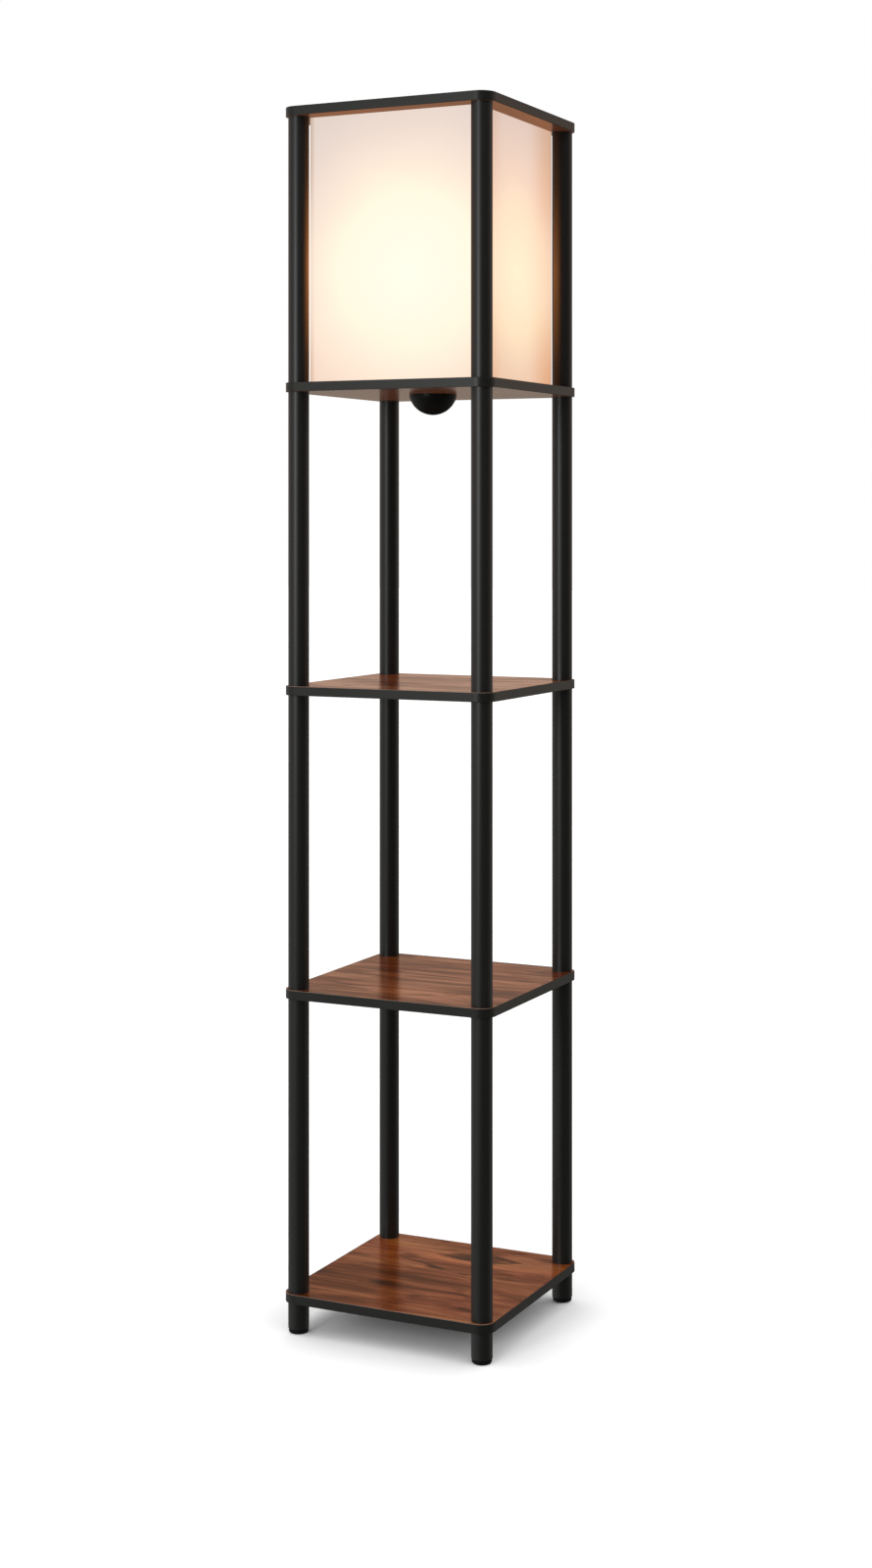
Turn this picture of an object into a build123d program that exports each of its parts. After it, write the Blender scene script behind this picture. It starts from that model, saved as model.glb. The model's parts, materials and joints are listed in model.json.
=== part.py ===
"""Square shelf floor lamp: five boards clamped between round tubes, with a lit box shade at the top.

Millimetres, +Z up, front along -Y, origin on the floor under the middle of the boards.
"""

import math
import os

from build123d import *

# Boards and their edge bands
board_side = 295.0
board_thickness = 12.0
board_corner_radius = 20.0
band_thickness = 1.0
band_edge_radius = 0.5  # the band is trimmed flush with the board, and its edges eased
band_seam = 0.3  # butt joint of a band's two ends, in the middle of the back
glue_line = 0.05

# Posts and feet
post_inset = 17.5  # from the edge of a board to the middle of a post
tube_diameter = 27.0
tube_wall = 1.5
shelf_tube_length = 379.0
shade_tube_length = 343.0
foot_tube_length = 34.0
foot_cap_height = 6.0
foot_cap_step = 0.75  # how far the cap stands in from the tube
foot_cap_chamfer = 1.5
foot_spigot_length = 8.0

# Turn-in joints: the stud of one tube goes through a board into the socket of the tube above
plug_sides = 8
plug_length = 18.0
plug_clearance = 0.1
stud_diameter = 12.0
stud_engagement = 16.0
stud_clearance = 0.15
stud_tip_gap = 1.0
stud_hole_clearance = 0.5
socket_floor = 4.0
top_stud_length = 8.0  # the studs under the top board end inside it

# Box shade
shade_corner_gap = 2.0  # from the shade's corners to the posts
panel_thickness = 2.0
groove_depth = 3.0
groove_clearance = 0.3
panel_end_gap = 0.5
angle_leg = 10.0
angle_thickness = 1.2
angle_end_gap = 0.5

# Dome under the lamp board, with its plate and the outlet for the cord
dome_radius = 31.0
dome_depth = 23.5
dome_wall = 2.0
plate_thickness = 3.5
lip_height = 3.0
lip_thickness = 2.0
lip_clearance = 0.3
outlet_radius = 5.5
outlet_drop = 0.5  # from the plate's lip down to the outlet
outlet_stand = 0.5  # how far the outlet stands out of the dome, and into its hollow
bushing_radius = 4.0
bushing_clearance = 0.1
bushing_flange_radius = 5.2
bushing_flange_thickness = 2.0
bushing_rim_radius = 5.0
bushing_rim_thickness = 1.2
cord_bore_radius = 3.0

# Stem that carries the lampholder
pipe_diameter = 10.0
pipe_bore = 7.0
pipe_clearance = 0.15
pipe_hole_clearance = 0.5
pipe_tail = 2.0
nut_width = 14.0
nut_height = 4.0
washer_diameter = 22.0
washer_thickness = 1.5
stem_height = 40.0  # from the lamp board up to the lampholder

# Lampholder
holder_diameter = 40.0
holder_wall = 2.5
holder_joint_clearance = 0.1
neck_diameter = 18.0
neck_height = 9.0
neck_flare = 7.0
cap_height = 26.0
body_height = 36.0
body_spigot = 4.0
body_floor = 7.0
body_lip = 3.0
shell_height = 25.0
shell_wall = 0.6
shell_seat_clearance = 0.2
shell_floor_opening = 8.0
contact_head_radius = 5.0
contact_head_height = 2.0
contact_rivet_radius = 2.0
contact_rivet_tail = 2.0

# Bulb
bulb_cap_radius = 13.0
bulb_cap_clearance = 0.3  # between the bulb's cap and the screw shell
bulb_cap_height = 21.0
bulb_insulator_height = 3.5
bulb_insulator_radius = 9.0
bulb_contact_radius = 4.5
bulb_contact_height = 1.5
bulb_collar_radius = 13.6
bulb_housing_height = 40.0
bulb_globe_radius = 30.0
bulb_globe_rise = 14.0  # from the housing up to the middle of the globe

# Places worked out from the sizes above
post_pitch = board_side - 2 * post_inset
tube_radius = tube_diameter / 2
shade_side = post_pitch - (tube_diameter + 2 * shade_corner_gap) / math.sqrt(2)
plug_radius = tube_radius - tube_wall - plug_clearance
stud_radius = stud_diameter / 2
socket_bore_radius = stud_radius + stud_clearance
socket_bore_depth = stud_engagement + stud_tip_gap

bottom_shelf_z = foot_cap_height + foot_tube_length
shelf_step = board_thickness + shelf_tube_length
middle_shelf_z = bottom_shelf_z + shelf_step
upper_shelf_z = middle_shelf_z + shelf_step
lamp_board_z = upper_shelf_z + shelf_step
lamp_floor_z = lamp_board_z + board_thickness
top_board_z = lamp_floor_z + shade_tube_length

corner = post_pitch / 2
posts = {
    "front_left": (-corner, -corner),
    "front_right": (corner, -corner),
    "back_left": (-corner, corner),
    "back_right": (corner, corner),
}

os.makedirs("parts", exist_ok=True)


def save(piece, name):
    """Names a finished piece and writes it."""
    piece.part.label = name
    export_step(piece.part, f"parts/{name}.step")


def turned(*points):
    """Half profile of (radius, height) points, to be turned about the upright axis."""
    with BuildSketch(Plane.XZ) as profile:
        with BuildLine():
            Polyline(*points, close=True)
        make_face()
    return profile.sketch


# Boards, with the studs' holes through all but the top one
core_side = board_side - 2 * band_thickness - 2 * glue_line
core_corner_radius = board_corner_radius - band_thickness - glue_line
groove_outside = shade_side + 2 * groove_clearance
groove_inside = shade_side - 2 * panel_thickness - 2 * groove_clearance


def board_slab(z):
    """Plain board without its band, its underside at height z."""
    with BuildPart() as slab:
        with BuildSketch(Plane.XY.offset(z)):
            RectangleRounded(core_side, core_side, core_corner_radius)
        extrude(amount=board_thickness)
    return slab.part


def post_holes(z, radius):
    """Round holes at the four posts."""
    with BuildSketch(Plane.XY.offset(z)) as holes:
        with GridLocations(post_pitch, post_pitch, 2, 2):
            Circle(radius)
    return holes.sketch


def shade_groove(z):
    """Square groove that takes the edges of the shade's panels."""
    with BuildSketch(Plane.XY.offset(z)) as groove:
        Rectangle(groove_outside, groove_outside)
        Rectangle(groove_inside, groove_inside, mode=Mode.SUBTRACT)
    return groove.sketch


stud_hole_radius = stud_radius + stud_hole_clearance
for name, z in (
    ("bottom_shelf", bottom_shelf_z),
    ("middle_shelf", middle_shelf_z),
    ("upper_shelf", upper_shelf_z),
):
    with BuildPart() as shelf:
        add(board_slab(z))
        extrude(post_holes(z, stud_hole_radius), amount=board_thickness, mode=Mode.SUBTRACT)
    save(shelf, name)

pipe_radius = pipe_diameter / 2
with BuildPart() as lamp_board:
    add(board_slab(lamp_board_z))
    extrude(post_holes(lamp_board_z, stud_hole_radius), amount=board_thickness, mode=Mode.SUBTRACT)
    extrude(shade_groove(lamp_floor_z), amount=-groove_depth, mode=Mode.SUBTRACT)
    with BuildSketch(Plane.XY.offset(lamp_board_z)):
        Circle(pipe_radius + pipe_hole_clearance)
    extrude(amount=board_thickness, mode=Mode.SUBTRACT)
save(lamp_board, "lamp_board")

with BuildPart() as top_board:
    add(board_slab(top_board_z))
    blind_depth = top_stud_length + stud_tip_gap
    extrude(post_holes(top_board_z, socket_bore_radius), amount=blind_depth, mode=Mode.SUBTRACT)
    extrude(shade_groove(top_board_z), amount=groove_depth, mode=Mode.SUBTRACT)
save(top_board, "top_board")

# Edge bands
for name, z in (
    ("bottom_shelf", bottom_shelf_z),
    ("middle_shelf", middle_shelf_z),
    ("upper_shelf", upper_shelf_z),
    ("lamp_board", lamp_board_z),
    ("top_board", top_board_z),
):
    with BuildPart() as band:
        with BuildSketch(Plane.XY.offset(z)):
            RectangleRounded(board_side, board_side, board_corner_radius)
        extrude(amount=board_thickness)
        faces = band.faces().filter_by(Axis.Z)
        fillet(faces.edges(), band_edge_radius)
        with BuildSketch(Plane.XY.offset(z)):
            inside = board_side - 2 * band_thickness
            RectangleRounded(inside, inside, board_corner_radius - band_thickness)
            with Locations((0, board_side / 2)):
                Rectangle(band_seam, 4 * band_thickness)
        extrude(amount=board_thickness, mode=Mode.SUBTRACT)
    save(band, f"{name}_edge_band")

# Post tubes, tier on tier
tiers = {
    "foot": (foot_cap_height, foot_tube_length),
    "lower": (bottom_shelf_z + board_thickness, shelf_tube_length),
    "middle": (middle_shelf_z + board_thickness, shelf_tube_length),
    "upper": (upper_shelf_z + board_thickness, shelf_tube_length),
    "shade": (lamp_floor_z, shade_tube_length),
}
for tier, (base_z, length) in tiers.items():
    for post, (x, y) in posts.items():
        with BuildPart() as tube:
            with BuildSketch(Plane((x, y, base_z))):
                Circle(tube_radius)
                Circle(tube_radius - tube_wall, mode=Mode.SUBTRACT)
            extrude(amount=length)
        save(tube, f"{tier}_tube_{post}")

# Foot caps, each on an eight-sided spigot in its tube
with BuildPart() as foot_cap:
    with BuildSketch():
        Circle(tube_radius - foot_cap_step)
    extrude(amount=foot_cap_height)
    chamfer(foot_cap.faces().sort_by(Axis.Z)[0].edges(), foot_cap_chamfer)
    with BuildSketch(Plane.XY.offset(foot_cap_height)):
        RegularPolygon(plug_radius, plug_sides)
    extrude(amount=foot_spigot_length)

with BuildPart() as foot_caps:
    with GridLocations(post_pitch, post_pitch, 2, 2):
        add(foot_cap.part)
save(foot_caps, "foot_caps")

# Turn-in joints. A plug's shoulder is level with the upper end of its tube.
def plug_with_stud(stud_length):
    """Eight-sided plug hanging below z = 0 and the stud that stands on it."""
    with BuildPart() as plug:
        with BuildSketch(Plane.XY.offset(-plug_length)):
            RegularPolygon(plug_radius, plug_sides)
        extrude(amount=plug_length)
        with BuildSketch():
            Circle(stud_radius)
        extrude(amount=stud_length)
    return plug.part


board_stud = plug_with_stud(board_thickness + stud_engagement)
top_stud = plug_with_stud(top_stud_length)

with BuildPart() as socket:
    with BuildSketch():
        RegularPolygon(plug_radius, plug_sides)
    extrude(amount=socket_bore_depth + socket_floor)
    with BuildSketch():
        Circle(socket_bore_radius)
    extrude(amount=socket_bore_depth, mode=Mode.SUBTRACT)

boards_with_studs = (bottom_shelf_z, middle_shelf_z, upper_shelf_z, lamp_board_z)
with BuildPart() as tube_studs:
    with Locations(*[(x, y, z) for z in boards_with_studs for x, y in posts.values()]):
        add(board_stud)
save(tube_studs, "tube_studs")

with BuildPart() as tube_sockets:
    with Locations(*[(x, y, z + board_thickness) for z in boards_with_studs for x, y in posts.values()]):
        add(socket.part)
save(tube_sockets, "tube_sockets")

with BuildPart() as top_studs:
    with Locations(*[(x, y, top_board_z) for x, y in posts.values()]):
        add(top_stud)
save(top_studs, "top_studs")

# Box shade: the front and back panels cover the edges of the side panels
panel_z = lamp_floor_z - groove_depth
panel_height = shade_tube_length + 2 * groove_depth - panel_end_gap
panel_offset = (shade_side - panel_thickness) / 2
shade_inside = shade_side - 2 * panel_thickness
for side, y in (("front", -panel_offset), ("back", panel_offset)):
    with BuildPart() as panel:
        with BuildSketch(Plane((0, y, panel_z))):
            Rectangle(shade_side, panel_thickness)
        extrude(amount=panel_height)
    save(panel, f"shade_{side}_panel")

for side, x in (("left", -panel_offset), ("right", panel_offset)):
    with BuildPart() as panel:
        with BuildSketch(Plane((x, 0, panel_z))):
            Rectangle(panel_thickness, shade_inside)
        extrude(amount=panel_height)
    save(panel, f"shade_{side}_panel")

with BuildPart() as shade_corner_angles:
    with BuildSketch(Plane.XY.offset(lamp_floor_z)):
        Rectangle(shade_inside, shade_inside)
        behind_angles = shade_inside - 2 * angle_thickness
        Rectangle(behind_angles, behind_angles, mode=Mode.SUBTRACT)
        between_legs = shade_inside - 2 * angle_leg
        Rectangle(between_legs, shade_inside, mode=Mode.SUBTRACT)
        Rectangle(shade_inside, between_legs, mode=Mode.SUBTRACT)
    extrude(amount=shade_tube_length - angle_end_gap)
save(shade_corner_angles, "shade_corner_angles")

# Dome: a hollow cap of a sphere that snaps over the lip of its plate
dome_rim_z = lamp_board_z - plate_thickness
sphere_radius = (dome_radius**2 + dome_depth**2) / (2 * dome_depth)
sphere_z = dome_rim_z - dome_depth + sphere_radius
lip_z = dome_rim_z - lip_height
lip_radius = math.sqrt((sphere_radius - dome_wall) ** 2 - (sphere_z - lip_z) ** 2) - lip_clearance
pipe_hole_radius = pipe_radius + pipe_clearance

with BuildPart() as dome_plate:
    revolve(
        turned(
            (pipe_hole_radius, lamp_board_z),
            (dome_radius, lamp_board_z),
            (dome_radius, dome_rim_z),
            (lip_radius, dome_rim_z),
            (lip_radius, lip_z),
            (lip_radius - lip_thickness, lip_z),
            (lip_radius - lip_thickness, dome_rim_z),
            (pipe_hole_radius, dome_rim_z),
        ),
        axis=Axis.Z,
    )
save(dome_plate, "dome_plate")

outlet_z = lip_z - outlet_drop - outlet_radius
upper_rise = sphere_z - outlet_z - outlet_radius
lower_rise = sphere_z - outlet_z + outlet_radius
outlet_y = math.sqrt(sphere_radius**2 - upper_rise**2) + outlet_stand
hollow_y = math.sqrt((sphere_radius - dome_wall) ** 2 - lower_rise**2) - outlet_stand
outlet_length = outlet_y - hollow_y
outlet_plane = Plane((0, outlet_y, outlet_z), x_dir=(1, 0, 0), z_dir=(0, 1, 0))

with BuildPart() as dome_cover:
    with BuildSketch(Plane.XZ):
        with Locations((0, sphere_z)):
            Circle(sphere_radius)
            Circle(sphere_radius - dome_wall, mode=Mode.SUBTRACT)
        with Locations((0, dome_rim_z)):
            Rectangle(
                sphere_radius,
                2 * sphere_radius,
                align=(Align.MIN, Align.MAX),
                mode=Mode.INTERSECT,
            )
    revolve(axis=Axis.Z)
    with BuildSketch(outlet_plane):
        Circle(outlet_radius)
    extrude(amount=-outlet_length)
    with BuildSketch(outlet_plane):
        Circle(bushing_radius + bushing_clearance)
    extrude(amount=-outlet_length, mode=Mode.SUBTRACT)
save(dome_cover, "dome_cover")

with BuildPart() as cord_bushing:
    with BuildSketch(outlet_plane):
        Circle(bushing_flange_radius)
    extrude(amount=bushing_flange_thickness)
    with BuildSketch(outlet_plane):
        Circle(bushing_radius)
    extrude(amount=-outlet_length)
    with BuildSketch(outlet_plane.offset(-outlet_length)):
        Circle(bushing_rim_radius)
    extrude(amount=-bushing_rim_thickness)
    with BuildSketch(outlet_plane.offset(bushing_flange_thickness)):
        Circle(cord_bore_radius)
    bushing_length = bushing_flange_thickness + outlet_length + bushing_rim_thickness
    extrude(amount=-bushing_length, mode=Mode.SUBTRACT)
save(cord_bushing, "cord_bushing")

# Stem: a threaded pipe through the lamp board, held by a nut and washer on each side
holder_z = lamp_floor_z + stem_height
upper_nut_z = lamp_floor_z + washer_thickness
lower_washer_z = dome_rim_z - washer_thickness
lower_nut_z = lower_washer_z - nut_height
lock_nut_z = holder_z - nut_height

with BuildPart() as stem_pipe:
    with BuildSketch(Plane.XY.offset(lower_nut_z - pipe_tail)):
        Circle(pipe_radius)
        Circle(pipe_bore / 2, mode=Mode.SUBTRACT)
    extrude(amount=holder_z + neck_height - lower_nut_z + pipe_tail)
save(stem_pipe, "stem_pipe")

with BuildPart() as stem_nuts:
    for z in (lower_nut_z, upper_nut_z, lock_nut_z):
        with BuildSketch(Plane.XY.offset(z)):
            RegularPolygon(nut_width / 2, 6, major_radius=False)
            Circle(pipe_hole_radius, mode=Mode.SUBTRACT)
        extrude(amount=nut_height)
save(stem_nuts, "stem_nuts")

with BuildPart() as stem_washers:
    for z in (lower_washer_z, lamp_floor_z):
        with BuildSketch(Plane.XY.offset(z)):
            Circle(washer_diameter / 2)
            Circle(pipe_hole_radius, mode=Mode.SUBTRACT)
        extrude(amount=washer_thickness)
save(stem_washers, "stem_washers")

# Lampholder: a cup with a neck on the pipe, and a body with the screw shell on its floor
holder_radius = holder_diameter / 2
holder_inside = holder_radius - holder_wall
neck_radius = neck_diameter / 2
flare_z = holder_z + neck_height
cap_top_z = holder_z + cap_height
floor_z = cap_top_z - body_spigot + body_floor
body_top_z = cap_top_z + body_height
shell_inside = bulb_cap_radius + bulb_cap_clearance
shell_outside = shell_inside + shell_wall
body_bore = shell_outside + shell_seat_clearance

with BuildPart() as lampholder_cap:
    revolve(
        turned(
            (pipe_hole_radius, holder_z),
            (neck_radius, holder_z),
            (neck_radius, flare_z),
            (holder_radius, flare_z + neck_flare),
            (holder_radius, cap_top_z),
            (holder_inside, cap_top_z),
            (holder_inside, flare_z + neck_flare + holder_wall),
            (neck_radius, flare_z + holder_wall),
            (pipe_hole_radius, flare_z + holder_wall),
        ),
        axis=Axis.Z,
    )
save(lampholder_cap, "lampholder_cap")

with BuildPart() as lampholder_body:
    spigot_z = cap_top_z - body_spigot
    spigot_radius = holder_inside - holder_joint_clearance
    rivet_hole = contact_rivet_radius + holder_joint_clearance
    revolve(
        turned(
            (rivet_hole, spigot_z),
            (spigot_radius, spigot_z),
            (spigot_radius, cap_top_z),
            (holder_radius, cap_top_z),
            (holder_radius, body_top_z - body_lip),
            (body_bore + holder_wall, body_top_z),
            (body_bore, body_top_z),
            (body_bore, floor_z),
            (rivet_hole, floor_z),
        ),
        axis=Axis.Z,
    )
save(lampholder_body, "lampholder_body")

with BuildPart() as screw_shell:
    revolve(
        turned(
            (shell_floor_opening, floor_z),
            (shell_outside, floor_z),
            (shell_outside, floor_z + shell_height),
            (shell_inside, floor_z + shell_height),
            (shell_inside, floor_z + shell_wall),
            (shell_floor_opening, floor_z + shell_wall),
        ),
        axis=Axis.Z,
    )
save(screw_shell, "screw_shell")

bulb_z = floor_z + contact_head_height
with BuildPart() as centre_contact:
    rivet_z = cap_top_z - body_spigot - contact_rivet_tail
    revolve(
        turned(
            (0, rivet_z),
            (contact_rivet_radius, rivet_z),
            (contact_rivet_radius, floor_z),
            (contact_head_radius, floor_z),
            (contact_head_radius, bulb_z),
            (0, bulb_z),
        ),
        axis=Axis.Z,
    )
save(centre_contact, "centre_contact")

# Bulb, screwed home: its foot stands on the lampholder's contact
insulator_z = bulb_z + bulb_contact_height
cap_z = insulator_z + bulb_insulator_height
housing_z = cap_z + bulb_cap_height
globe_z = housing_z + bulb_housing_height
globe_middle_z = globe_z + bulb_globe_rise
seam_radius = math.sqrt(bulb_globe_radius**2 - bulb_globe_rise**2)

with BuildPart() as bulb_contact:
    with BuildSketch(Plane.XY.offset(bulb_z)):
        Circle(bulb_contact_radius)
    extrude(amount=bulb_contact_height)
save(bulb_contact, "bulb_contact")

with BuildPart() as bulb_insulator:
    revolve(
        turned(
            (0, insulator_z),
            (bulb_contact_radius, insulator_z),
            (bulb_insulator_radius, cap_z),
            (0, cap_z),
        ),
        axis=Axis.Z,
    )
save(bulb_insulator, "bulb_insulator")

with BuildPart() as bulb_cap:
    shoulder = bulb_cap_radius - bulb_insulator_radius
    revolve(
        turned(
            (0, cap_z),
            (bulb_insulator_radius, cap_z),
            (bulb_cap_radius, cap_z + shoulder),
            (bulb_cap_radius, housing_z),
            (0, housing_z),
        ),
        axis=Axis.Z,
    )
save(bulb_cap, "bulb_cap")

with BuildPart() as bulb_housing:
    with BuildSketch(Plane.XZ):
        with BuildLine():
            foot_line = Line((0, housing_z), (bulb_collar_radius, housing_z))
            seam_line = Line((seam_radius, globe_z), (0, globe_z))
            TangentArc(foot_line @ 1, seam_line @ 0, tangent=(0, 1))
            Line(seam_line @ 1, foot_line @ 0)
        make_face()
    revolve(axis=Axis.Z)
save(bulb_housing, "bulb_housing")

with BuildPart() as bulb_globe:
    with BuildSketch(Plane.XZ):
        with Locations((0, globe_middle_z)):
            Circle(bulb_globe_radius)
        with Locations((0, globe_z)):
            Rectangle(
                bulb_globe_radius,
                2 * bulb_globe_radius,
                align=(Align.MIN, Align.MIN),
                mode=Mode.INTERSECT,
            )
    revolve(axis=Axis.Z)
save(bulb_globe, "bulb_globe")
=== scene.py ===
"""Shelf floor lamp: wood-grain boards between black tubes, with a lit box shade. Metres, +Z up."""

import json
import math

import bmesh
import bpy
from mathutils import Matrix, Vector


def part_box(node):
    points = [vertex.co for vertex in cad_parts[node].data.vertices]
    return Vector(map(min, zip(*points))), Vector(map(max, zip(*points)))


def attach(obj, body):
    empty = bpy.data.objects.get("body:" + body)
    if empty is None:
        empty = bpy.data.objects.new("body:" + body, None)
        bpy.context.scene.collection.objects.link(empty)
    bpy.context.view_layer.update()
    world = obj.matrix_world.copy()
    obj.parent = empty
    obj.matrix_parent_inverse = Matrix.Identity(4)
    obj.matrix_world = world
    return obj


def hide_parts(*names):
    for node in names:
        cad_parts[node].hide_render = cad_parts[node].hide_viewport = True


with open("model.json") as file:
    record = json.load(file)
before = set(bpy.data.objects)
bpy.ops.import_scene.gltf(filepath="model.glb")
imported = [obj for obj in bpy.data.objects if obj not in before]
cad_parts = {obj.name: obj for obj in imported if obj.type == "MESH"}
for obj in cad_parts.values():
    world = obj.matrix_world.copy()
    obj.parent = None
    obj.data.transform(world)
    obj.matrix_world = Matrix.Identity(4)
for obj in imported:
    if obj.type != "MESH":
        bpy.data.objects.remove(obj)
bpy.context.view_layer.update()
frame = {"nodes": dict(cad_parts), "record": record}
nodes = frame["nodes"]

# Camera, worked out from the photograph's perspective
photo_height_px = 1600
focal_px = 2415.0
horizon_px = 530.6
camera_distance = 3.118
camera_azimuth = math.radians(25.62)
camera_aside = 0.00395
camera_height = 1.0478
sensor_size = 36.0
camera_forward = Vector((-math.sin(camera_azimuth), math.cos(camera_azimuth), 0))
camera_right = Vector((camera_forward.y, -camera_forward.x, 0))

# Studio
white = (1, 1, 1, 1)
white_level = 1.0
sky_low_level = 0.15
sky_high_level = 1.42
sky_span = (0.02, 0.6)
floor_glow_level = 1.25
floor_glow_span = (0.0, -0.01)
floor_side = 60.0
floor_drop = 0.0005
surround_radius = 25.0
key_turn = math.radians(35)
key_distance = 3.4
key_height = 1.4
key_aim_height = 1.1
key_size = (0.9, 1.2)
key_power = 30


def srgb(red, green, blue):
    """Linear colour of an sRGB one given in 0 to 255."""
    scaled = [value / 255 for value in (red, green, blue)]
    linear = [v / 12.92 if v <= 0.04045 else ((v + 0.055) / 1.055) ** 2.4 for v in scaled]
    return (*linear, 1.0)


def shaded(colour, share):
    """A colour made darker or paler."""
    return (*[share * value for value in colour[:3]], 1.0)


def add(tree, kind, inputs=(), **settings):
    """Adds a shader node. An input is a constant or another node's output."""
    made = tree.nodes.new(kind)
    for name, value in settings.items():
        setattr(made, name, value)
    for name, value in dict(inputs).items():
        if isinstance(value, bpy.types.NodeSocket):
            tree.links.new(value, made.inputs[name])
        else:
            made.inputs[name].default_value = value
    return made


def math_node(tree, operation, *values, clamp=False):
    """Output of a Math node."""
    made = add(tree, "ShaderNodeMath", enumerate(values), operation=operation, use_clamp=clamp)
    return made.outputs[0]


def ramp(tree, factor, *stops):
    """Output of a colour ramp with (position, colour) stops."""
    made = add(tree, "ShaderNodeValToRGB", {"Fac": factor})
    elements = made.color_ramp.elements
    elements[0].position, elements[0].color = stops[0]
    elements[1].position, elements[1].color = stops[-1]
    for position, colour in stops[1:-1]:
        elements.new(position).color = colour
    return made.outputs["Color"]


def mask(tree, value, low, high):
    """0 up to low and 1 from high on, smooth between. High may be the lesser of the two."""
    inputs = {"Value": value, "From Min": low, "From Max": high}
    made = add(tree, "ShaderNodeMapRange", inputs, interpolation_type="SMOOTHSTEP")
    return made.outputs["Result"]


def mix(tree, factor, a, b, blend="MIX"):
    """Colour between a and b."""
    inputs = {0: factor, 6: a, 7: b}
    return add(tree, "ShaderNodeMix", inputs, data_type="RGBA", blend_type=blend).outputs[2]


def mix_value(tree, factor, a, b):
    """Number between a and b."""
    return add(tree, "ShaderNodeMix", {0: factor, 2: a, 3: b}, data_type="FLOAT").outputs[0]


def noise(tree, scale=1.0, repeats=(1, 1, 1), detail=3.0, roughness=0.5, distortion=0.0):
    """Noise on object coordinates, with its own repeats per metre along X, Y and Z."""
    place = add(tree, "ShaderNodeTexCoord").outputs["Object"]
    stretched = add(tree, "ShaderNodeMapping", {"Vector": place, "Scale": repeats}).outputs[0]
    inputs = {
        "Vector": stretched,
        "Scale": scale,
        "Detail": detail,
        "Roughness": roughness,
        "Distortion": distortion,
    }
    return add(tree, "ShaderNodeTexNoise", inputs).outputs["Fac"]


def axes_of(tree, vector):
    """The X, Y and Z outputs of a vector."""
    return add(tree, "ShaderNodeSeparateXYZ", {"Vector": vector}).outputs


def facing_axes(tree):
    """The X, Y and Z outputs of the way that the surface faces."""
    return axes_of(tree, add(tree, "ShaderNodeNewGeometry").outputs["True Normal"])


def along(tree, way, direction):
    """How far a way goes in a direction."""
    inputs = {0: way, 1: direction}
    made = add(tree, "ShaderNodeVectorMath", inputs, operation="DOT_PRODUCT")
    return made.outputs["Value"]


def light_path(tree, kind):
    """1 for the kind of ray that is named, and 0 for others."""
    return add(tree, "ShaderNodeLightPath").outputs[kind]


def new_material(name):
    """A new material with its tree and its Principled shader."""
    material = bpy.data.materials.new(name)
    material.use_nodes = True
    return material, material.node_tree, material.node_tree.nodes["Principled BSDF"]


def new_group(name, inputs, outputs):
    """A new shader node group, its inputs and its outputs. The sockets are given by name and kind."""
    group = bpy.data.node_groups.new(name, "ShaderNodeTree")
    for in_out, sockets in (("INPUT", inputs), ("OUTPUT", outputs)):
        for socket, kind in sockets.items():
            group.interface.new_socket(socket, in_out=in_out, socket_type=f"NodeSocket{kind}")
    given = group.nodes.new("NodeGroupInput").outputs
    out = group.nodes.new("NodeGroupOutput").inputs
    return group, given, out


def set_constants(shader, **values):
    """Constants on the shader's own sockets."""
    for name, value in values.items():
        shader.inputs[name.replace("_", " ")].default_value = value


def bump(tree, shader, height, strength, distance):
    """Feeds a height to the shader's normal."""
    inputs = {"Height": height, "Strength": strength, "Distance": distance}
    made = add(tree, "ShaderNodeBump", inputs)
    tree.links.new(made.outputs["Normal"], shader.inputs["Normal"])


def link_mesh(name, shape):
    """Makes an object of a bmesh."""
    mesh = bpy.data.meshes.new(name)
    shape.to_mesh(mesh)
    shape.free()
    made = bpy.data.objects.new(name, mesh)
    bpy.context.scene.collection.objects.link(made)
    return made


# Wood-grain laminate of the boards, its grain along X. The repeats are per metre.
plank_repeats = (2.4, 14, 24)
streak_repeats = (5.0, 42, 30)
line_repeats = (8, 280, 60)
smoke_repeats = (9.0, 34, 27)
blush_repeats = (5.0, 20, 22)
plank_share = 0.55
streak_share = 0.65
line_share = 0.1
smoke_share = 0.95
wood_tones = (
    (0.46, srgb(46, 20, 6)),
    (0.57, srgb(80, 37, 12)),
    (0.68, srgb(116, 58, 20)),
    (0.82, srgb(156, 91, 34)),
)
blush_span = (0.45, 0.65)
blush_tint = (1.0, 0.78, 0.72, 1)
smoke_span = (0.54, 0.7)
smoke_brown = srgb(28, 13, 8)
underside_span = (-0.4, -0.6)
underside_brown = srgb(100, 60, 42)
underside_share = 0.8
underside_coat = 0.6
coat_span = (0.48, 0.8)
least_coat = 0.15
least_roughness = 0.17
line_roughness = 0.08
bounce_grey = (0.02, 0.02, 0.02, 1)


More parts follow.
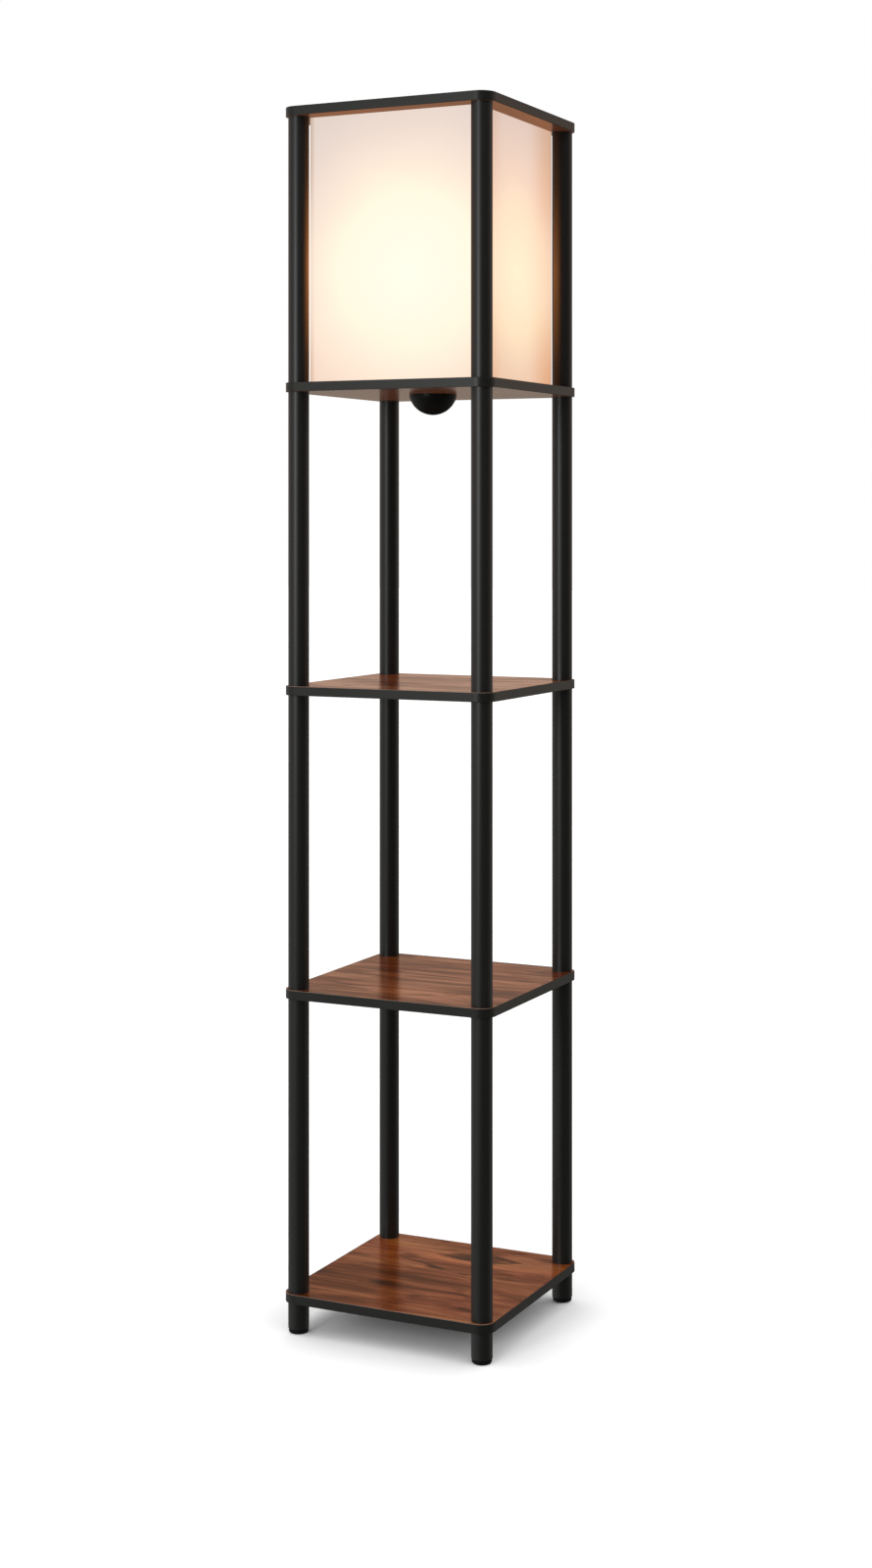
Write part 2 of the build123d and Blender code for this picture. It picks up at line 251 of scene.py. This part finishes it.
def wood_material():
    """Streaked laminate with smoky patches and a clear coat that is thin on the dark ones. The underside
    is plainer, and the boards throw back only a little grey light."""
    material, tree, shader = new_material("wood_laminate")
    plank = noise(tree, repeats=plank_repeats, detail=3.0, roughness=0.5, distortion=0.5)
    streak = noise(tree, repeats=streak_repeats, detail=5.0, roughness=0.62, distortion=0.9)
    line = noise(tree, repeats=line_repeats, detail=3.0, roughness=0.6, distortion=0.2)
    smoke = noise(tree, repeats=smoke_repeats, detail=4.0, roughness=0.55, distortion=1.0)
    blush = noise(tree, repeats=blush_repeats, detail=2.0, roughness=0.5, distortion=0.6)
    broad = math_node(tree, "MULTIPLY", plank, plank_share)
    tone = math_node(tree, "MULTIPLY_ADD", streak, streak_share, broad)
    lined = math_node(tree, "MULTIPLY_ADD", line, line_share, tone)
    body = ramp(tree, lined, *wood_tones)
    reddened = mix(tree, mask(tree, blush, *blush_span), body, blush_tint, "MULTIPLY")
    smoky = math_node(tree, "MULTIPLY", mask(tree, smoke, *smoke_span), smoke_share)
    figured = mix(tree, smoky, reddened, smoke_brown)
    under = mask(tree, facing_axes(tree)["Z"], *underside_span)
    plainer = math_node(tree, "MULTIPLY", under, underside_share)
    colour = mix(tree, plainer, figured, underside_brown)
    seen = mix(tree, light_path(tree, "Is Diffuse Ray"), colour, bounce_grey)
    tree.links.new(seen, shader.inputs["Base Color"])
    rough = math_node(tree, "MULTIPLY_ADD", line, line_roughness, least_roughness)
    tree.links.new(rough, shader.inputs["Roughness"])
    clear = math_node(tree, "SUBTRACT", mask(tree, lined, *coat_span), smoky)
    coat = math_node(tree, "MAXIMUM", clear, least_coat)
    tree.links.new(mix_value(tree, under, coat, underside_coat), shader.inputs["Coat Weight"])
    set_constants(shader, Specular_IOR_Level=0.12, Coat_Roughness=0.2, Coat_IOR=1.5)
    relief = math_node(tree, "MULTIPLY", line, math_node(tree, "SUBTRACT", 1.0, under))
    bump(tree, shader, relief, strength=0.02, distance=0.0002)
    return material


# Black, pale and metal finishes, with a faint mottle that has its own repeats per metre. The spans of
# the highlight painted pale on a band's arris go by the way that the surface faces.
arris_rising_span = (0.35, 0.5)
arris_flat_span = (0.9, 0.98)
arris_front_span = (-0.15, -0.4)
# Colour of the painted highlight on the front of a band's upper arris
arris_highlight_pale = srgb(142, 116, 103)


def mottle_group():
    """Group that puts out a mottle's height, and a colour and a roughness that go with it. The colour
    goes over into the other one between two heights."""
    numbers = ("Repeats", "Detail", "Low", "High", "Roughness", "Unevenness")
    inputs = {**dict.fromkeys(numbers, "Float"), "Colour": "Color", "Other Colour": "Color"}
    outputs = {"Colour": "Color", "Roughness": "Float", "Height": "Float"}
    group, given, out = new_group("surface_mottle", inputs, outputs)
    height = noise(group, given["Repeats"], detail=given["Detail"])
    span = {"Value": height, "From Min": given["Low"], "From Max": given["High"]}
    share = add(group, "ShaderNodeMapRange", span).outputs["Result"]
    colour = mix(group, share, given["Colour"], given["Other Colour"])
    rough = math_node(group, "MULTIPLY_ADD", height, given["Unevenness"], given["Roughness"])
    group.links.new(colour, out["Colour"])
    group.links.new(rough, out["Roughness"])
    group.links.new(height, out["Height"])
    return group


surface_mottle = mottle_group()


def mottled_material(name, values):
    """A new material with its tree, its shader and the height of its mottle."""
    material, tree, shader = new_material(name)
    mottle = add(tree, "ShaderNodeGroup", values, node_tree=surface_mottle).outputs
    tree.links.new(mottle["Colour"], shader.inputs["Base Color"])
    tree.links.new(mottle["Roughness"], shader.inputs["Roughness"])
    return material, tree, shader, mottle["Height"]


def black_finish(name, colour, rough, repeats, specular):
    """Near-black finish with a mottle in colour, gloss and relief."""
    values = {
        "Repeats": repeats,
        "Detail": 4.0,
        "Low": 0.3,
        "High": 0.7,
        "Roughness": rough - 0.03,
        "Unevenness": 0.06,
        "Colour": colour,
        "Other Colour": shaded(colour, 1.15),
    }
    material, tree, shader, height = mottled_material(name, values)
    set_constants(shader, Specular_IOR_Level=specular)
    bump(tree, shader, height, strength=0.015, distance=0.0004)
    return material


def edge_band_finish(name):
    """Black edge band of a board."""
    return black_finish(name, srgb(14, 14, 11), rough=0.42, repeats=300.0, specular=0.41)


def highlighted_band_finish(name):
    """Black edge band with a highlight painted pale on its upper arris along the front, where the light
    catches it.
    """
    material = edge_band_finish(name)
    tree = material.node_tree
    shader = tree.nodes["Principled BSDF"]
    black = shader.inputs["Base Color"].links[0].from_socket
    facing = facing_axes(tree)
    rising = mask(tree, facing["Z"], *arris_rising_span)
    flat = mask(tree, facing["Z"], *arris_flat_span)
    frontal = mask(tree, facing["Y"], *arris_front_span)
    # Painted highlight, pale where the arris faces up and to the front
    highlight = math_node(tree, "MULTIPLY", math_node(tree, "SUBTRACT", rising, flat), frontal)
    tree.links.new(mix(tree, highlight, black, arris_highlight_pale), shader.inputs["Base Color"])
    return material


def plain_finish(name, colour, rough, metallic=0.0):
    """Pale or metal finish with a mottle in colour and gloss."""
    values = {
        "Repeats": 220.0,
        "Detail": 3.0,
        "Low": 0.2,
        "High": 0.8,
        "Roughness": rough,
        "Unevenness": 0.1,
        "Colour": colour,
        "Other Colour": shaded(colour, 0.9),
    }
    material, _, shader, _ = mottled_material(name, values)
    set_constants(shader, Metallic=metallic)
    return material


def lit_globe_finish(name, colour, glow_colour):
    """White globe that glows."""
    material = plain_finish(name, colour, 0.35)
    shader = material.node_tree.nodes["Principled BSDF"]
    set_constants(shader, Emission_Color=glow_colour, Emission_Strength=1.0)
    material.cycles.emission_sampling = "NONE"
    return material


# Lit shade: each panel is brightest where the bulb is behind it, warmer below, where the board throws
# the light back, and darker and tan along its upright edges, a painted shade of the corner angles behind
# the film, most of all far above and below the bulb. The tones of the film go by the distance from the
# bright middle.
globe_low, globe_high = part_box("bulb_globe")
bulb_middle_z = globe_high.z - (globe_high.x - globe_low.x) / 2
shade_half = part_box("shade_front_panel")[1].x
film_reach = 0.23
cloud_repeats = 14.0
cloud_depth = 0.02
corner_angle_leg = 0.0075
corner_shade_span = (shade_half - corner_angle_leg, shade_half - 0.2 * corner_angle_leg)
wane_width = 0.085
wane_span = (shade_half - wane_width, shade_half - 0.1 * wane_width)
dull_span = (0.02, 0.15)
least_dull = 0.3
warm_drop = 0.09
front_glow_aside = 0.022
front_glow_drop = 0.011
side_glow_back = 0.005
side_glow_drop = 0.008
front_above = (
    (0.0, srgb(254, 254, 236)),
    (0.10, srgb(254, 248, 224)),
    (0.14, srgb(252, 232, 213)),
    (0.19, srgb(237, 218, 207)),
    (0.23, srgb(227, 211, 201)),
)
front_below = (
    (0.0, srgb(254, 254, 236)),
    (0.10, srgb(254, 246, 222)),
    (0.15, srgb(253, 230, 210)),
    (0.21, srgb(240, 210, 192)),
)
side_above = (
    (0.0, srgb(254, 241, 206)),
    (0.095, srgb(254, 225, 196)),
    (0.13, srgb(244, 213, 193)),
    (0.21, srgb(222, 199, 187)),
)
side_below = (
    (0.0, srgb(254, 241, 206)),
    (0.08, srgb(254, 227, 192)),
    (0.13, srgb(241, 205, 177)),
    (0.21, srgb(224, 183, 152)),
)
heat_tones = (
    (0.0, (4.0, 1.4, 0.42, 1)),
    (0.06, (2.5, 0.88, 0.25, 1)),
    (0.12, (0.9, 0.35, 0.12, 1)),
    (0.18, (0.5, 0.22, 0.11, 1)),
    (0.23, (0.4, 0.19, 0.1, 1)),
)
film_black = (0.01, 0.01, 0.01, 1)
# Tint of the painted shade where the corner angles stand behind the film
corner_shade_tan = srgb(233, 223, 214)
no_wane = white
side_wane = srgb(250, 228, 208)


def glow_group():
    """Group that puts out how far a place is from a bright middle, as a share of the film's reach, and
    masks for below the bulb, at an upright edge and on the way to one."""
    inputs = dict.fromkeys(("Middle X", "Middle Y", "Middle Z"), "Float")
    outputs = dict.fromkeys(("Reach", "Below", "Edge", "Wane"), "Float")
    group, given, out = new_group("bulb_glow", inputs, outputs)
    place = add(group, "ShaderNodeTexCoord").outputs["Object"]
    axes = {axis: given[f"Middle {axis}"] for axis in "XYZ"}
    ends = {0: place, 1: add(group, "ShaderNodeCombineXYZ", axes).outputs[0]}
    reach = add(group, "ShaderNodeVectorMath", ends, operation="DISTANCE").outputs["Value"]
    cloud = noise(group, cloud_repeats, detail=2.0)
    cloudy = math_node(group, "MULTIPLY_ADD", cloud, cloud_depth, reach)
    level = math_node(group, "SUBTRACT", cloudy, cloud_depth / 2)
    share = math_node(group, "DIVIDE", level, film_reach)
    xyz = axes_of(group, place)
    drop = math_node(group, "SUBTRACT", given["Middle Z"], xyz["Z"])
    far = mask(group, math_node(group, "ABSOLUTE", drop), *dull_span)
    dull = math_node(group, "MULTIPLY_ADD", far, 1 - least_dull, least_dull)
    aside = math_node(group, "MINIMUM", *[math_node(group, "ABSOLUTE", xyz[axis]) for axis in "XY"])
    # Mask of the painted shade of the corner angles along the upright edges
    edge = mask(group, aside, *corner_shade_span)
    wane = mask(group, aside, *wane_span)
    group.links.new(share, out["Reach"])
    group.links.new(mask(group, drop, 0.0, warm_drop), out["Below"])
    group.links.new(math_node(group, "MULTIPLY", edge, dull), out["Edge"])
    group.links.new(math_node(group, "MULTIPLY", wane, dull), out["Wane"])
    return group


def place_glow(tree, group, middle):
    """Puts the group in a material, with its own bright middle."""
    inputs = {f"Middle {axis}": value for axis, value in zip("XYZ", middle)}
    return add(tree, "ShaderNodeGroup", inputs, node_tree=group).outputs


def reach_ramp(tree, share, tones):
    """Ramp whose tones are given by metres from the bright middle."""
    return ramp(tree, share, *[(reach / film_reach, colour) for reach, colour in tones])


def shade_material(name, group, middle, gleam, above, below, waning):
    """Glowing film. Its tones above and below the bulb go by the distance from the bright middle, and
    what shows of it in gloss by the distance from gleam."""
    material, tree, shader = new_material(name)
    glow = place_glow(tree, group, middle)
    upper = reach_ramp(tree, glow["Reach"], above)
    lower = reach_ramp(tree, glow["Reach"], below)
    film = mix(tree, glow["Below"], upper, lower)
    # Painted shade of the corner angles, tan along the upright edges
    corner_shaded = mix(tree, glow["Edge"], film, corner_shade_tan, "MULTIPLY")
    waned = mix(tree, glow["Wane"], corner_shaded, waning, "MULTIPLY")
    heat = reach_ramp(tree, place_glow(tree, group, gleam)["Reach"], heat_tones)
    lit = mix(tree, light_path(tree, "Is Glossy Ray"), waned, heat)
    tree.links.new(lit, shader.inputs["Emission Color"])
    material.cycles.emission_sampling = "NONE"
    set_constants(shader, Base_Color=film_black, Roughness=0.5, Specular_IOR_Level=0.1)
    set_constants(shader, Emission_Strength=1.0)
    return material


front_glow_z = bulb_middle_z - front_glow_drop
side_glow_z = bulb_middle_z - side_glow_drop
front_tones = (front_above, front_below, no_wane)
side_tones = (side_above, side_below, side_wane)
front_left_gleam = (-shade_half, -shade_half, bulb_middle_z)
back_right_gleam = (shade_half, shade_half, bulb_middle_z)
shade_films = {
    "front": ((front_glow_aside, -shade_half, front_glow_z), front_left_gleam, *front_tones),
    "back": ((-front_glow_aside, shade_half, front_glow_z), back_right_gleam, *front_tones),
    "left": ((-shade_half, side_glow_back, side_glow_z), front_left_gleam, *side_tones),
    "right": ((shade_half, side_glow_back, side_glow_z), back_right_gleam, *side_tones),
}

# Finish of every node: its own one, or the one of its material slot. The tables give name and colour,
# then roughness, repeats and specular level of the black ones, or roughness and metallic of the others.
black_finishes = {
    "post_tube": ("tube_black", srgb(14, 14, 13), 0.42, 700.0, 0.5),
    "connector": ("connector_black", srgb(35, 35, 34), 0.5, 300.0, 0.4),
    "foot_cap": ("foot_rubber", srgb(6, 6, 6), 0.6, 500.0, 0.2),
    "dome": ("dome_black", srgb(6, 6, 5), 0.42, 300.0, 0.2),
    "bushing": ("bushing_rubber", srgb(24, 24, 24), 0.65, 500.0, 0.3),
    "lampholder": ("lampholder_black", srgb(28, 28, 28), 0.25, 300.0, 0.5),
    "bulb_insulator": ("insulator_black", srgb(24, 24, 24), 0.2, 300.0, 0.5),
}
plain_finishes = {
    "shade_angle": ("shade_angle_white", srgb(232, 226, 214), 0.4),
    "stem": ("stem_steel", srgb(190, 188, 182), 0.3, 1.0),
    "brass": ("contact_brass", srgb(205, 165, 92), 0.3, 1.0),
    "bulb_housing": ("housing_white", srgb(236, 236, 234), 0.35),
    "bulb_cap": ("cap_metal", srgb(200, 198, 192), 0.3, 1.0),
}
finishes = {
    "board": wood_material(),
    "edge_band": highlighted_band_finish("edge_band_painted_highlight"),
    "bulb_globe": lit_globe_finish("globe_white", srgb(245, 240, 228), srgb(255, 240, 208)),
}
for slot, values in black_finishes.items():
    finishes[slot] = black_finish(*values)
for slot, values in plain_finishes.items():
    finishes[slot] = plain_finish(*values)
plain_band = edge_band_finish("edge_band_black")
own_finishes = {"top_board_edge_band": plain_band, "lamp_board_edge_band": plain_band}
bulb_glow = glow_group()
for side, film in shade_films.items():
    own_finishes[f"shade_{side}_panel"] = shade_material(f"shade_film_{side}", bulb_glow, *film)
for part in frame["record"]["subparts"]:
    name = part["node"]
    mesh = nodes[name].data
    mesh.materials.clear()
    mesh.materials.append(own_finishes.get(name) or finishes[part["material_slot"]])


# Threaded pieces. The bulb's cap and the shell that it screws into are rolled from sheet with one round
# thread, the stem is a pipe threaded from end to end, and the tubes turn into each other with threaded
# studs and sockets on eight-sided plugs. Each mesh is given as rings to the pitch and steps round the
# axis.
crease_angle = math.radians(30)
same_radius = 1e-6


def step(value, low, high):
    """0 up to low and 1 from high on, smooth between."""
    share = min(max((value - low) / (high - low), 0.0), 1.0)
    return share * share * (3 - 2 * share)


def widen(point, share):
    """Moves a point away from the axis or towards it."""
    point.co.x *= share
    point.co.y *= share


def threaded(outline, walls, pitch, depth, groove, rings, steps, flats=None):
    """Shape turned from the (radius, z) points of its outline, with a thread in the walls of the given
    radii. groove gives the share of the depth that is sunk at a height, from the thread's wave there.
    flats is the number of sides that the shape has, and the radius beyond which it has them."""

    def on_wall(radius):
        """Whether a radius is that of a threaded wall."""
        return min(abs(radius - wall) for wall in walls) < same_radius

    shape = bmesh.new()
    points = [shape.verts.new((radius, 0, z)) for radius, z in outline]
    for line in [shape.edges.new(pair) for pair in zip(points, points[1:])]:
        first, last = [point.co.x for point in line.verts]
        if on_wall(first) and abs(first - last) < same_radius:
            cuts = round(rings * line.calc_length() / pitch)
            bmesh.ops.subdivide_edges(shape, edges=[line], cuts=cuts)
    bmesh.ops.spin(
        shape,
        geom=shape.verts[:] + shape.edges[:],
        axis=(0, 0, 1),
        cent=(0, 0, 0),
        angle=2 * math.pi,
        steps=steps,
        use_merge=True,
    )
    bmesh.ops.remove_doubles(shape, verts=shape.verts, dist=same_radius)
    bmesh.ops.recalc_face_normals(shape, faces=shape.faces)
    around = [(v, v.co.xy.length, math.atan2(v.co.y, v.co.x)) for v in shape.verts]
    if flats:
        sides, beyond = flats
        half = math.pi / sides
        for point, radius, turn in around:
            if radius > beyond:
                widen(point, math.cos(half) / math.cos(turn % (2 * half) - half))
    shape.normal_update()
    for face in shape.faces:
        face.smooth = True
    for edge in shape.edges:
        edge.smooth = edge.calc_face_angle(0.0) < crease_angle
    for point, radius, turn in around:
        if on_wall(radius):
            wave = (1 + math.cos(2 * math.pi * point.co.z / pitch - turn)) / 2
            widen(point, 1 - depth * groove(point.co.z, wave) / radius)
    return shape


def repeat(shape, places):
    """Puts the shape at the first place and copies of it at the others."""
    points = shape.verts[:]
    whole = points + shape.edges[:] + shape.faces[:]
    for place in places[1:]:
        copy = bmesh.ops.duplicate(shape, geom=whole)["geom"]
        copied = [made for made in copy if isinstance(made, bmesh.types.BMVert)]
        bmesh.ops.translate(shape, verts=copied, vec=place)
    bmesh.ops.translate(shape, verts=points, vec=places[0])
    return shape


def stand_for(node, name, shape, body, slot):
    """Puts a shape in the place of a CAD node."""
    piece = link_mesh(name, shape)
    piece.data.materials.append(finishes[slot])
    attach(piece, body)
    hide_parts(node)


# Bulb's cap and screw shell
screw_pitch = 0.003629
screw_depth = 0.00105
screw_mesh = (12, 64)
cap_foot_radius = 0.009
shell_wall = 0.0006
shell_opening_radius = 0.008
cap_low, cap_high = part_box("bulb_cap")
shell_low, shell_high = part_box("screw_shell")
cap_radius = cap_high.x
shell_radius = shell_high.x
shell_inside = shell_radius - shell_wall
shoulder_z = cap_low.z + cap_radius - screw_depth - cap_foot_radius


def cap_groove(z, wave):
    """Sunk to the root at the shoulder, and run out to a plain skirt above the shell."""
    starts = step(z, shoulder_z, shoulder_z + 0.8 * screw_pitch)
    ends = step(z, shell_high.z - 0.5 * screw_pitch, shell_high.z)
    return 1 - starts * (1 - (1 - wave) * (1 - ends))


def shell_groove(z, wave):
    """Plain at the floor and at the mouth."""
    starts = step(z, shell_low.z + 0.4 * screw_pitch, shell_low.z + 1.4 * screw_pitch)
    ends = step(z, shell_high.z - 1.1 * screw_pitch, shell_high.z - 0.55 * screw_pitch)
    return starts * (1 - ends) * (1 - wave)


cap_outline = (
    (0, cap_low.z),
    (cap_foot_radius, cap_low.z),
    (cap_radius, shoulder_z),
    (cap_radius, cap_high.z),
    (0, cap_high.z),
)
shell_outline = (
    (shell_opening_radius, shell_low.z),
    (shell_radius, shell_low.z),
    (shell_radius, shell_high.z),
    (shell_inside, shell_high.z),
    (shell_inside, shell_low.z + shell_wall),
    (shell_opening_radius, shell_low.z + shell_wall),
    (shell_opening_radius, shell_low.z),
)
cap_thread = ([cap_radius], screw_pitch, screw_depth, cap_groove, *screw_mesh)
shell_thread = ([shell_radius, shell_inside], screw_pitch, screw_depth, shell_groove, *screw_mesh)
cap_shape = threaded(cap_outline, *cap_thread)
shell_shape = threaded(shell_outline, *shell_thread)
stand_for("bulb_cap", "rolled_bulb_cap", cap_shape, "bulb", "bulb_cap")
stand_for("screw_shell", "rolled_screw_shell", shell_shape, "frame", "brass")

# Stem
pipe_pitch = 0.001
pipe_depth = 0.00045
pipe_mesh = (8, 32)
pipe_bore_radius = 0.0035
pipe_chamfer = 0.0005
pipe_low, pipe_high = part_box("stem_pipe")
pipe_radius = pipe_high.x
pipe_end_radius = pipe_radius - pipe_chamfer


def even_groove(z, wave):
    """The same at every height."""
    return 1 - wave


pipe_outline = (
    (pipe_bore_radius, pipe_low.z),
    (pipe_end_radius, pipe_low.z),
    (pipe_radius, pipe_low.z + pipe_chamfer),
    (pipe_radius, pipe_high.z - pipe_chamfer),
    (pipe_end_radius, pipe_high.z),
    (pipe_bore_radius, pipe_high.z),
    (pipe_bore_radius, pipe_low.z),
)
pipe_shape = threaded(pipe_outline, [pipe_radius], pipe_pitch, pipe_depth, even_groove, *pipe_mesh)
stand_for("stem_pipe", "threaded_stem_pipe", pipe_shape, "frame", "stem")

# Studs and sockets of the tubes. A stud's thread starts above its plug, and goes on in the socket's.
stud_pitch = 0.00175
stud_depth = 0.0009
stud_mesh = (8, 24)
stud_radius = 0.006
stud_chamfer = 0.0012
stud_length = 0.028
top_stud_length = 0.008
plug_length = 0.018
plug_chamfer = 0.0008
socket_radius = 0.00615
socket_depth = 0.017
socket_length = 0.021
board_low, board_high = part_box("bottom_shelf")
board_thickness = board_high.z - board_low.z
tube_low, tube_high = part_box("foot_tube_front_right")
plug_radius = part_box("tube_sockets")[1].x - (tube_low.x + tube_high.x) / 2
plug_flats = (8, 0.8 * plug_radius)


def tube_ends(end, *tiers):
    """Middles of the lower (0) or upper (1) ends of the tubes in some tiers."""
    ends = []
    for tier in tiers:
        for low, high in [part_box(name) for name in nodes if name.startswith(f"{tier}_tube_")]:
            ends.append(Vector(((low.x + high.x) / 2, (low.y + high.y) / 2, (low, high)[end].z)))
    return ends


def stud_groove(z, wave):
    """Plain above the plug."""
    return step(z, 0.2 * stud_pitch, 1.2 * stud_pitch) * (1 - wave)


def plugged(outline, radius, groove):
    """Stud or socket on an eight-sided plug, with a thread in the wall of a radius."""
    thread = ([radius], stud_pitch, stud_depth, groove, *stud_mesh)
    return threaded(outline, *thread, plug_flats)


def stud_shape(length):
    """Plug below z = 0 with a stud on it."""
    outline = (
        (0, -plug_length),
        (plug_radius - plug_chamfer, -plug_length),
        (plug_radius, plug_chamfer - plug_length),
        (plug_radius, 0),
        (stud_radius, 0),
        (stud_radius, length - stud_chamfer),
        (stud_radius - stud_chamfer, length),
        (0, length),
    )
    return plugged(outline, stud_radius, stud_groove)


socket_outline = (
    (0, board_thickness + socket_length),
    (plug_radius - plug_chamfer, board_thickness + socket_length),
    (plug_radius, board_thickness + socket_length - plug_chamfer),
    (plug_radius, board_thickness),
    (socket_radius + plug_chamfer, board_thickness),
    (socket_radius, board_thickness + plug_chamfer),
    (socket_radius, board_thickness + socket_depth),
    (0, board_thickness + socket_depth),
)
socket_shape = plugged(socket_outline, socket_radius, even_groove)
under_board = Vector((0, 0, -board_thickness))
socket_places = [end + under_board for end in tube_ends(0, "lower", "middle", "upper", "shade")]
stud_places = tube_ends(1, "foot", "lower", "middle", "upper")
connectors = {
    "tube_studs": repeat(stud_shape(stud_length), stud_places),
    "top_studs": repeat(stud_shape(top_stud_length), tube_ends(1, "shade")),
    "tube_sockets": repeat(socket_shape, socket_places),
}
for node, shape in connectors.items():
    stand_for(node, f"threaded_{node}", shape, "frame", "connector")

# Floor. The sky stands in for the light that it throws back, so it doesn't stop light from below.
floor_shape = bmesh.new()
bmesh.ops.create_grid(floor_shape, size=floor_side / 2)
bmesh.ops.translate(floor_shape, verts=floor_shape.verts, vec=(0, 0, -floor_drop))
floor = link_mesh("studio_floor", floor_shape)
floor_material, _, floor_shader = new_material("floor_white")
floor_white = (0.95, 0.95, 0.95, 1)
set_constants(floor_shader, Base_Color=floor_white, Roughness=1.0, Specular_IOR_Level=0.0)
floor.data.materials.append(floor_material)
floor.visible_glossy = False
floor.visible_diffuse = False
floor.visible_shadow = False

# Sky that lights the studio mostly from above, and from below as the floor would, white to the camera
world = bpy.data.worlds.new("studio")
world.use_nodes = True
bpy.context.scene.world = world
world.cycles_visibility.glossy = False
tree = world.node_tree
sky = tree.nodes["Background"]
sky.inputs["Color"].default_value = white
up = axes_of(tree, add(tree, "ShaderNodeTexCoord").outputs["Generated"])["Z"]
rise = mask(tree, up, *sky_span)
above = math_node(tree, "MULTIPLY_ADD", rise, sky_high_level - sky_low_level, sky_low_level)
level = mix_value(tree, mask(tree, up, *floor_glow_span), above, floor_glow_level)
seen_level = mix_value(tree, light_path(tree, "Is Camera Ray"), level, white_level)
tree.links.new(seen_level, sky.inputs["Strength"])

# Surround that only shows in gloss
surround_black = (0.02, 0.02, 0.02, 1)
haze_cream = (1.0, 0.87, 0.72, 1)
warm_glow = (0.22, 0.07, 0.025, 1)
left_wall_level = 0.42
right_wall_level = 0.2
ceiling_level = 0.6
haze_level = 0.31
haze_fall = -1.3
low_haze_level = 0.24
behind_span = (-0.25, 0.2)
low_haze_span = (-0.35, -0.08)
horizon_span = (-0.02, 0.02)
warm_low_span = (0.04, 0.16)
warm_high_span = (0.4, 0.6)
left_wall_span = (0.25, 0.85)
right_wall_span = (-0.3, -0.8)
ceiling_span = (0.3, 0.75)


def surround_material():
    """Dim, with pale walls at the left and right, a hazy one behind that is warm above the horizon, and
    a pale ceiling."""
    material, tree, shader = new_material("surround_glow")
    tree.nodes.remove(shader)
    place = add(tree, "ShaderNodeTexCoord").outputs["Object"]
    way = add(tree, "ShaderNodeVectorMath", {0: place}, operation="NORMALIZE").outputs[0]
    left = along(tree, way, -camera_right)
    rise = axes_of(tree, way)["Z"]
    behind = mask(tree, along(tree, way, camera_forward), *behind_span)
    over = math_node(tree, "MAXIMUM", rise, 0.0)
    above = math_node(tree, "MULTIPLY_ADD", over, haze_fall, haze_level)
    below = math_node(tree, "MULTIPLY", mask(tree, rise, *low_haze_span), low_haze_level)
    above_horizon = mask(tree, rise, *horizon_span)
    haze = math_node(tree, "MULTIPLY_ADD", above_horizon, above, below, clamp=True)
    back_wall = math_node(tree, "MULTIPLY", behind, haze)
    hazed = mix(tree, back_wall, surround_black, haze_cream)
    warm_low = mask(tree, rise, *warm_low_span)
    warm_high = mask(tree, rise, *warm_high_span)
    warm_band = math_node(tree, "SUBTRACT", warm_low, warm_high)
    warm = math_node(tree, "MULTIPLY", warm_band, behind)
    backed = mix(tree, warm, hazed, warm_glow, "ADD")
    left_wall = math_node(tree, "MULTIPLY", mask(tree, left, *left_wall_span), left_wall_level)
    right_light = math_node(tree, "MULTIPLY", behind, right_wall_level)
    right_wall = math_node(tree, "MULTIPLY", mask(tree, left, *right_wall_span), right_light)
    walled = mix(tree, math_node(tree, "ADD", left_wall, right_wall), backed, white)
    ceiling = math_node(tree, "MULTIPLY", mask(tree, rise, *ceiling_span), ceiling_level)
    colour = mix(tree, ceiling, walled, white)
    shine = add(tree, "ShaderNodeEmission", {"Color": colour, "Strength": 1.0})
    tree.links.new(shine.outputs[0], tree.nodes["Material Output"].inputs["Surface"])
    material.cycles.emission_sampling = "NONE"
    return material


surround_shape = bmesh.new()
bmesh.ops.create_icosphere(surround_shape, subdivisions=4, radius=surround_radius)
surround = link_mesh("studio_surround", surround_shape)
surround.data.materials.append(surround_material())
surround.visible_camera = False
surround.visible_diffuse = False
surround.visible_shadow = False
surround.visible_transmission = False

# Key light, a softbox at the left of the camera
key_way = -camera_forward * math.cos(key_turn) - camera_right * math.sin(key_turn)
key_place = key_way * key_distance + Vector((0, 0, key_height))
key_aim = Vector((0, 0, key_aim_height))
lamp = bpy.data.lights.new("key", "AREA")
lamp.shape = "RECTANGLE"
lamp.size, lamp.size_y = key_size
lamp.energy = key_power
key = bpy.data.objects.new("key", lamp)
key.location = key_place
key.rotation_euler = (key_aim - key_place).to_track_quat("-Z", "Y").to_euler()
key.visible_camera = False
bpy.context.scene.collection.objects.link(key)

# Camera, level, at the photograph's place
lens = bpy.data.cameras.new("photo_camera")
lens.sensor_width = sensor_size
lens.lens = focal_px / photo_height_px * sensor_size
lens.shift_y = (horizon_px - photo_height_px / 2) / photo_height_px
camera = bpy.data.objects.new("photo_camera", lens)
camera_foot = camera_right * camera_aside - camera_forward * camera_distance
camera.location = camera_foot + Vector((0, 0, camera_height))
camera.rotation_euler = camera_forward.to_track_quat("-Z", "Y").to_euler()
bpy.context.scene.collection.objects.link(camera)
bpy.context.scene.camera = camera
bpy.context.scene.view_settings.view_transform = "Standard"
